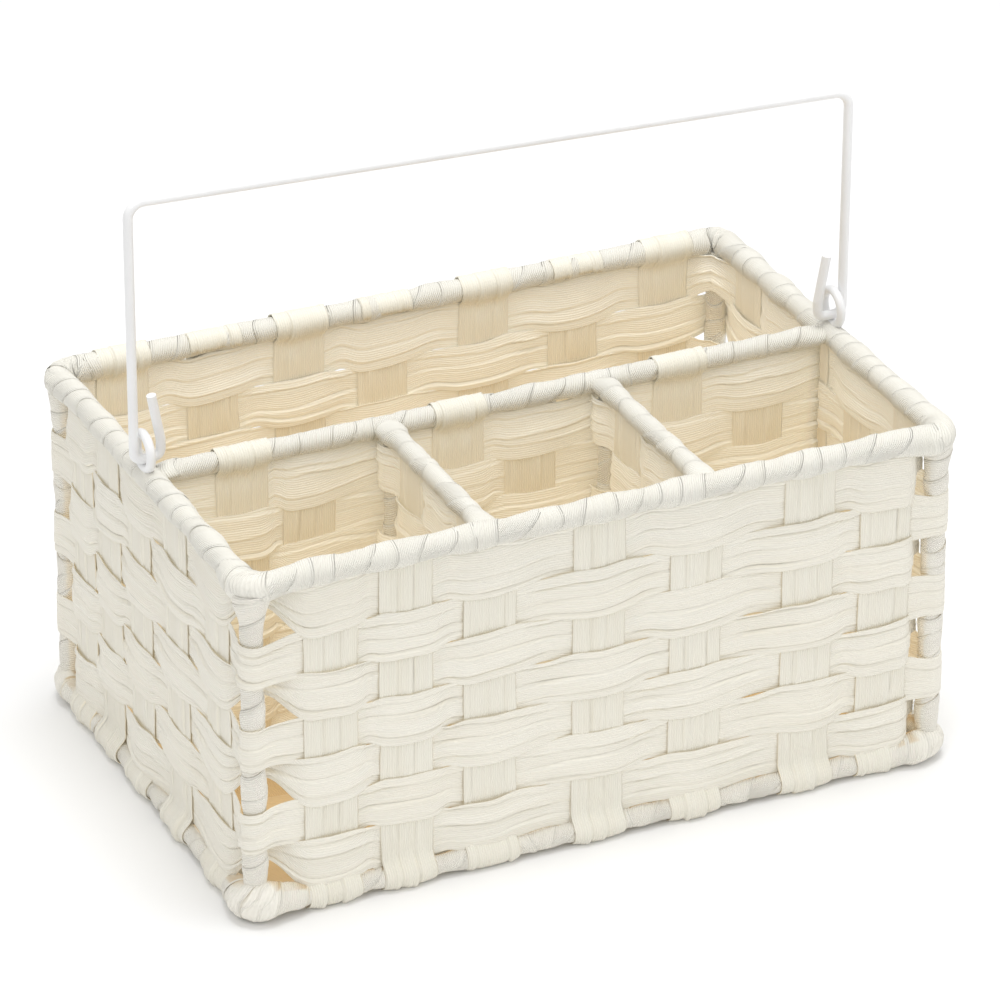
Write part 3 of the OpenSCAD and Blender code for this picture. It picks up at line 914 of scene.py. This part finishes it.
class Nodes:
    """Small helper for a material's nodes."""

    def __init__(self, name):
        self.material = bpy.data.materials.new(name)
        self.material.use_nodes = True
        self.tree = self.material.node_tree
        self.shader = self.tree.nodes["Principled BSDF"]

    def add(self, kind, **settings):
        node = self.tree.nodes.new(kind)
        for key, value in settings.items():
            setattr(node, key, value)
        return node

    def link(self, a, b):
        self.tree.links.new(a, b)

    def math(self, operation, a, b=None, c=None, clamp=False):
        node = self.add("ShaderNodeMath", operation=operation, use_clamp=clamp)
        for i, value in enumerate((a, b, c)):
            if value is None:
                continue
            if isinstance(value, (int, float)):
                node.inputs[i].default_value = value
            else:
                self.link(value, node.inputs[i])
        return node.outputs[0]

    def times(self, *factors):
        product = factors[0]
        for factor in factors[1:]:
            product = self.math("MULTIPLY", product, factor)
        return product

    def noise(self, vector, scale, detail=2.0, roughness=0.5):
        node = self.add("ShaderNodeTexNoise")
        node.inputs["Scale"].default_value = scale
        node.inputs["Detail"].default_value = detail
        node.inputs["Roughness"].default_value = roughness
        self.link(vector, node.inputs["Vector"])
        return node.outputs["Fac"]

    def mix(self, factor, a, b, blend="MIX"):
        """Colour a, turned into b by factor."""
        node = self.add("ShaderNodeMix", data_type="RGBA", blend_type=blend)
        for socket, value in ((node.inputs[0], factor), (node.inputs[6], a), (node.inputs[7], b)):
            if isinstance(value, (int, float)):
                socket.default_value = value
            elif isinstance(value, tuple):
                socket.default_value = value + (1.0,)
            else:
                self.link(value, socket)
        return node.outputs[2]

    def bump(self, height, distance):
        """Relief of the surface, up to a distance in metres."""
        node = self.add("ShaderNodeBump")
        node.inputs["Strength"].default_value = 1.0
        node.inputs["Distance"].default_value = distance
        self.link(height, node.inputs["Height"])
        self.link(node.outputs[0], self.shader.inputs["Normal"])

    def ramp(self, value, low, high):
        """value from low to high becomes 0 to 1."""
        node = self.add("ShaderNodeMapRange", interpolation_type="SMOOTHSTEP")
        self.link(value, node.inputs["Value"])
        node.inputs["From Min"].default_value = low
        node.inputs["From Max"].default_value = high
        return node.outputs["Result"]


RIB_PITCH = 0.00105     # distance between the ribs of a tape, m
FLOOR_SHADE_TINT = (0.74, 0.6, 0.42)      # painted shade on the basket's floor: what its colour is multiplied by
INSIDE_SHADE_TOP = 1            # depth below the rim where the painted warm shade inside the basket starts, mm
INSIDE_SHADE_EDGE = 13          # depth where the first part of that painted shade is reached, mm
INSIDE_SHADE_DEPTH = 60         # depth where all of it is reached, mm
FLOOR_SHADE_LOW = 20          # height where the painted shade on the basket's floor is full, mm
FLOOR_SHADE_HIGH = 60         # height where it ends, mm


def tape_material(name, light, dark, inside, rib_depth, glow, inside_shade_amount=1.0, streaks=0.3):
    """Twisted paper tape: fine lengthwise ribs, streaks and folds, with painted shade in the folds and
    rib grooves and painted warm shade inside the basket.

    light and dark are the ends of its colour. inside multiplies it inside the basket as painted warm
    shade, which stands for light bounced round in there, and the next argument gives how much of it.
    glow stands for the daylight that comes through the tape there."""
    n = Nodes(name)
    place = n.add("ShaderNodeAttribute", attribute_name="tape")
    split = n.add("ShaderNodeSeparateXYZ")
    n.link(place.outputs["Vector"], split.inputs[0])
    along, across, fold = split.outputs

    def drawn_out(lengthwise, crosswise, detail, roughness=0.5):
        """Noise drawn out along the tape, with so many patches a metre each way."""
        point = n.add("ShaderNodeCombineXYZ")
        n.link(n.times(along, lengthwise), point.inputs[0])
        n.link(n.times(across, crosswise), point.inputs[1])
        return n.noise(point.outputs[0], 1.0, detail, roughness)

    streak = drawn_out(14.0, 900.0, 3.0, 0.6)
    wide_streak = drawn_out(9.0, 160.0, 2.0)
    rib = n.math("SINE", n.times(across, 2 * math.pi / RIB_PITCH))
    blotch = n.noise(place.outputs["Vector"], 11.0, 2.0)

    tone = n.times(n.ramp(streak, 0.3, 0.7), streaks)
    tone = n.math("ADD", tone, n.times(n.ramp(wide_streak, 0.35, 0.65), 0.3))
    tone = n.math("ADD", tone, n.times(n.ramp(blotch, 0.3, 0.7), 0.25), clamp=True)
    colour = n.mix(tone, light, dark)
    # Painted shade along the valleys of the folds, and in the grooves between the ribs.
    valley = n.ramp(n.times(fold, -1 / MM), 0.05, 0.5)
    colour = n.mix(n.times(valley, 0.55), colour, tuple(c * 0.78 for c in dark))
    painted_rib_groove_shade = n.ramp(n.times(rib, -1.0), 0.0, 1.0)
    colour = n.mix(n.times(painted_rib_groove_shade, 0.13), colour, tuple(c * 0.7 for c in dark))

    geometry = n.add("ShaderNodeNewGeometry")
    position = n.add("ShaderNodeSeparateXYZ")
    n.link(geometry.outputs["Position"], position.inputs[0])
    normal = n.add("ShaderNodeSeparateXYZ")
    n.link(geometry.outputs["Normal"], normal.inputs[0])
    # Places as parts of the half length and half width, so that the walls stand at 1
    part_x = n.times(position.outputs[0], 1 / (HL * MM))
    part_y = n.times(position.outputs[1], 1 / (HW * MM))
    face_x = n.times(part_x, normal.outputs[0])
    face_y = n.times(part_y, normal.outputs[1])
    outward = n.ramp(n.math("MAXIMUM", face_x, face_y), 0.35, 0.7)
    turned_in = n.ramp(n.times(n.math("MINIMUM", face_x, face_y), -1.0), 0.1, 0.5)
    reach = n.math("MAXIMUM", n.math("ABSOLUTE", part_x), n.math("ABSOLUTE", part_y))
    at_wall = n.ramp(reach, 0.93, 0.97)
    not_in = n.times(at_wall, n.math("SUBTRACT", 1.0, turned_in))
    inward = n.math("SUBTRACT", 1.0, n.math("MAXIMUM", outward, not_in))
    level = n.ramp(normal.outputs[2], 0.5, 0.9)
    drop = n.times(position.outputs[2], -1 / MM)
    below = n.ramp(drop, -RIM_Z + INSIDE_SHADE_TOP, -RIM_Z + INSIDE_SHADE_EDGE)
    depth = n.ramp(drop, -RIM_Z, -RIM_Z + INSIDE_SHADE_DEPTH)
    depth = n.math("MULTIPLY_ADD", depth, 0.65, n.times(below, 0.35))
    # Painted warm shade on the inward faces, growing with depth below the rim: it stands for light
    # bounced round inside the basket.
    painted_inside_shade = n.times(inward, depth, inside_shade_amount)
    colour = n.mix(painted_inside_shade, colour, n.mix(1.0, colour, inside, "MULTIPLY"))
    # Painted shade on the upward faces deep in the basket, towards its floor.
    painted_floor_shade = n.times(level, inward, n.ramp(drop, -FLOOR_SHADE_HIGH, -FLOOR_SHADE_LOW))
    colour = n.mix(painted_floor_shade, colour, n.mix(1.0, colour, FLOOR_SHADE_TINT, "MULTIPLY"))
    n.link(colour, n.shader.inputs["Base Color"])

    n.link(n.math("MULTIPLY_ADD", streak, 0.2, 0.5), n.shader.inputs["Roughness"])
    n.shader.inputs["Specular IOR Level"].default_value = 0.35
    n.link(colour, n.shader.inputs["Emission Color"])
    upright_face = n.math("SUBTRACT", 1.0, level)
    lit = n.times(inward, upright_face, below)
    n.link(n.times(lit, glow), n.shader.inputs["Emission Strength"])
    # The glow only brightens the tape itself. It isn't a light for the rest of the scene.
    n.material.cycles.emission_sampling = "NONE"
    relief = n.math("ADD", n.times(rib, 0.5), n.times(streak, 2 * streaks))
    n.bump(relief, rib_depth)
    return n.material


def coated_material():
    """White powder coat on wire, with a faint orange peel."""
    n = Nodes("powder_coat")
    geometry = n.add("ShaderNodeNewGeometry")
    peel = n.noise(geometry.outputs["Position"], 900.0, 2.0)
    patch = n.noise(geometry.outputs["Position"], 45.0, 2.0)
    colour = n.mix(n.ramp(patch, 0.3, 0.7), (0.9, 0.9, 0.9), (0.87, 0.87, 0.87))
    n.link(colour, n.shader.inputs["Base Color"])
    n.link(n.math("MULTIPLY_ADD", patch, 0.12, 0.24), n.shader.inputs["Roughness"])
    n.shader.inputs["Coat Weight"].default_value = 0.15
    n.bump(peel, 0.00006)
    return n.material


def wire_material():
    """Painted frame wire, which the tape covers."""
    n = Nodes("painted_wire")
    geometry = n.add("ShaderNodeNewGeometry")
    grain = n.noise(geometry.outputs["Position"], 600.0, 3.0)
    colour = n.mix(grain, (0.8, 0.78, 0.7), (0.7, 0.67, 0.58))
    n.link(colour, n.shader.inputs["Base Color"])
    n.link(n.math("MULTIPLY_ADD", grain, 0.2, 0.4), n.shader.inputs["Roughness"])
    return n.material


WEAVER_TAPE = tape_material("weaver_tape", (0.92, 0.892, 0.80), (0.885, 0.84, 0.725),
                            (1.0, 0.955, 0.87), 0.00014, 0.165)
STAKE_TAPE = tape_material("stake_tape", (0.91, 0.88, 0.78), (0.87, 0.825, 0.70),
                           (0.97, 0.895, 0.77), 0.00018, 0.125, streaks=0.14)
WRAP_TAPE = tape_material("wrap_tape", (0.905, 0.885, 0.81), (0.875, 0.845, 0.75),
                          (1.0, 0.94, 0.84), 0.0003, 0.05, 0.8, streaks=0.2)
# A lighter copy of the wrapping tape: painted light that brightens the shaded base and post windings.
LIT_WRAP_TAPE = tape_material("lit_wrap_tape", (0.95, 0.92, 0.835), (0.925, 0.885, 0.785),
                          (1.0, 0.94, 0.84), 0.0003, 0.02, 0.8, streaks=0.2)


# ---------------------------------------------------------------- the pieces

def weave():
    """The walls, the dividers and the floor."""
    for k in range(1, ROWS + 1):
        piece("weave_row_%d" % k, [weaver_row(k)], WEAVER_TAPE, ["weaver_row_%d" % k])
    for i, plane in enumerate(("front", "right", "rear", "left")):
        folded = (plane == "rear", plane == "rear")
        shells = stake_set(plane, 1, True, RIM_FOLD_R, -1, 500 + 20 * i, folded)
        piece(plane + "_uprights", shells, STAKE_TAPE, [plane + "_stakes"])
    shells = stake_set("long", -1, False, RAIL_FOLD_R, 1, 600, (True, False))
    piece("long_divider_uprights", shells, STAKE_TAPE, ["long_divider_stakes"])
    piece("long_divider_weave", [long_divider_row(k + 1) for k in range(ROWS)],
          WEAVER_TAPE, ["long_divider_weavers"])
    for side in ("left", "right"):
        plane = side + "_cross"
        shells = stake_set(plane, -1, False, RAIL_FOLD_R, 1, 620)
        piece(side + "_divider_uprights", shells, STAKE_TAPE, [side + "_divider_stakes"])
        piece(side + "_divider_weave", [cross_divider_row(plane, k + 1) for k in range(ROWS)],
              WEAVER_TAPE, [side + "_divider_weavers"])
    cross_shells, long_shells = floor_tapes()
    piece("floor_cross_weave", cross_shells, STAKE_TAPE, ["floor_cross_tapes"])
    piece("floor_long_weave", long_shells, WEAVER_TAPE, ["floor_long_tapes"])


def wrapping():
    """The tape wound round the wires."""
    for name, shells, material, nodes in (
            ("rim_winding", rim_wrapping(), WRAP_TAPE, ["rim_wrap", "rim_corner_wraps"]),
            ("base_winding", base_wrapping(), LIT_WRAP_TAPE, ["base_wrap", "base_corner_wraps"]),
            ("post_winding", post_wrapping(), LIT_WRAP_TAPE, ["corner_post_wraps"]),
            ("long_rail_winding", long_rail_wrapping(), WRAP_TAPE, ["long_rail_wrap"]),
            ("cross_rail_winding", cross_rail_wrapping(), WRAP_TAPE, ["cross_rail_wraps"]),
            ("divider_post_winding", divider_post_wrapping(), WRAP_TAPE, ["divider_post_wraps"])):
        piece(name, shells, material, nodes)


def finish_wires():
    """Materials of the CAD nodes that stay in view."""
    coated = coated_material()
    painted = wire_material()
    handle = ("bail_handle", "left_eye", "right_eye")
    wires = ("rim_wire", "base_wire", "corner_posts", "long_rail", "cross_rails",
             "divider_posts", "long_floor_wire", "cross_floor_wires")
    for name in handle + wires:
        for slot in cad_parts[name].material_slots:
            slot.material = coated if name in handle else painted


weave()
wrapping()
finish_wires()


# ---------------------------------------------------------------- floor, light and camera

FLOOR_SIZE = 12         # m
SKY_LIGHT = 0.6         # strength of the sky as a light
SKY_SEEN = 1.05         # its strength where the camera sees it


def area_light(name, place, size, power):
    """A round soft light of so many watts, aimed at the middle of the basket."""
    data = bpy.data.lights.new(name, "AREA")
    data.shape = "DISK"
    data.size = size
    data.energy = power
    thing = bpy.data.objects.new(name, data)
    thing.location = place
    aim = Vector((0, 0, 0.08)) - Vector(place)
    thing.rotation_euler = aim.to_track_quat("-Z", "Y").to_euler()
    bpy.context.scene.collection.objects.link(thing)


def studio():
    """A plain pale floor under soft light."""
    bpy.ops.mesh.primitive_plane_add(size=FLOOR_SIZE, location=(0, 0, 0))
    floor = bpy.context.object
    floor.name = "studio_floor"
    n = Nodes("studio_floor")
    geometry = n.add("ShaderNodeNewGeometry")
    haze = n.noise(geometry.outputs["Position"], 2.0, 1.0)
    n.link(n.mix(haze, (0.93, 0.93, 0.93), (0.95, 0.95, 0.95)), n.shader.inputs["Base Color"])
    n.shader.inputs["Roughness"].default_value = 0.9
    floor.data.materials.append(n.material)

    world = bpy.data.worlds.new("studio")
    world.use_nodes = True
    sky = world.node_tree.nodes["Background"]
    sky.inputs[0].default_value = (1.0, 1.0, 1.0, 1.0)
    seen = world.node_tree.nodes.new("ShaderNodeLightPath")
    level = world.node_tree.nodes.new("ShaderNodeMapRange")
    level.inputs["To Min"].default_value = SKY_LIGHT
    level.inputs["To Max"].default_value = SKY_SEEN
    world.node_tree.links.new(seen.outputs["Is Camera Ray"], level.inputs["Value"])
    world.node_tree.links.new(level.outputs["Result"], sky.inputs[1])
    bpy.context.scene.world = world

    area_light("key_light", (-1.1, -1.3, 2.1), 1.2, 9)
    area_light("fill_light", (1.8, -1.6, 1.2), 1.8, 5)
    area_light("top_light", (0.1, 0.0, 2.2), 1.3, 28)


AZIMUTH = -25.3         # degrees round from straight in front, to the left
ELEVATION = 28.03       # degrees above level
ROLL = 0.23             # degrees
DISTANCE = 2.6555       # m
TARGET = (0.00157, -0.00074, 0.111)
LENS = 222.75           # mm, for a sensor 36 mm wide


def camera():
    """A camera at the viewing angle of the reference view."""
    azimuth = math.radians(AZIMUTH)
    elevation = math.radians(ELEVATION)
    target = Vector(TARGET)
    flat = DISTANCE * math.cos(elevation)
    data = bpy.data.cameras.new("camera")
    data.lens = LENS
    data.sensor_width = 36
    data.clip_end = 30
    thing = bpy.data.objects.new("camera", data)
    thing.location = target + Vector((flat * math.sin(azimuth), -flat * math.cos(azimuth),
                                      DISTANCE * math.sin(elevation)))
    thing.rotation_euler = (target - thing.location).to_track_quat("-Z", "Y").to_euler()
    thing.rotation_euler.rotate_axis("Z", math.radians(ROLL))
    bpy.context.scene.collection.objects.link(thing)
    bpy.context.scene.camera = thing


studio()
camera()
bpy.context.scene.view_settings.view_transform = "Standard"
